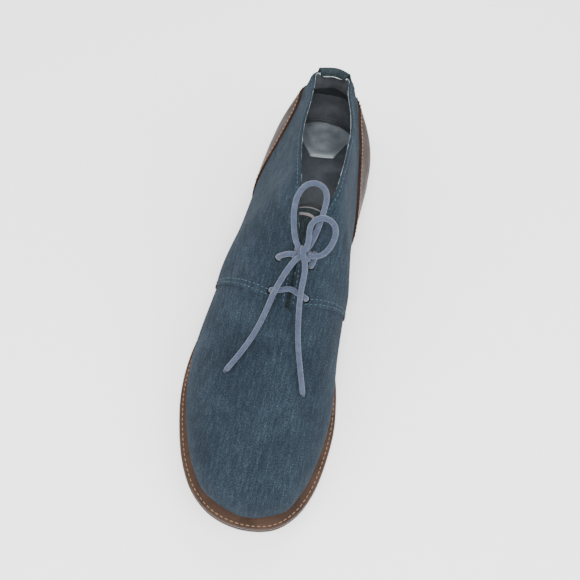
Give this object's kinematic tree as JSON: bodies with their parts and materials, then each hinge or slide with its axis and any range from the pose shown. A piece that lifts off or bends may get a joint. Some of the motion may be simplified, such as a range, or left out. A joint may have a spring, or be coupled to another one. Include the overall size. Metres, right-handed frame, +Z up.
{
  "type": "chukka boot",
  "caption": "Right suede chukka boot with a leather heel counter, laced throat, open collar and a low stacked heel, standing empty on its sole.",
  "frame": {"origin": "on the floor, under the middle of the sole's length and width", "axes": "+Z up, toe towards -Y, medial side towards +X"},
  "size_m": [0.105, 0.3, 0.1205],
  "materials": {
    "suede": "napped blue suede",
    "tongue_suede": "dark napped suede",
    "brown_leather": "polished brown leather",
    "sole_leather": "dark brown sole leather",
    "welt_leather": "waxed brown edge",
    "heel_rubber": "matte black rubber",
    "lining": "matte dark blue-grey lining leather",
    "heel_pad": "smooth blue-grey pad",
    "lace": "round braided blue-grey cord"
  },
  "bodies": {
    "root": {"upper": "suede", "heel_tab": "suede", "tongue": "tongue_suede", "counter": "brown_leather", "outsole": "sole_leather", "midsole": "welt_leather", "heel": "sole_leather", "heel_lift": "heel_rubber", "insole": "lining", "heel_sock": "heel_pad", "lace_crossing": "lace", "lace_strand_lateral": "lace", "lace_strand_medial": "lace", "lace_knot": "lace", "lace_loop_back": "lace", "lace_loop_medial": "lace", "lace_end_lateral": "lace", "lace_end_medial": "lace"}
  },
  "joints": []
}
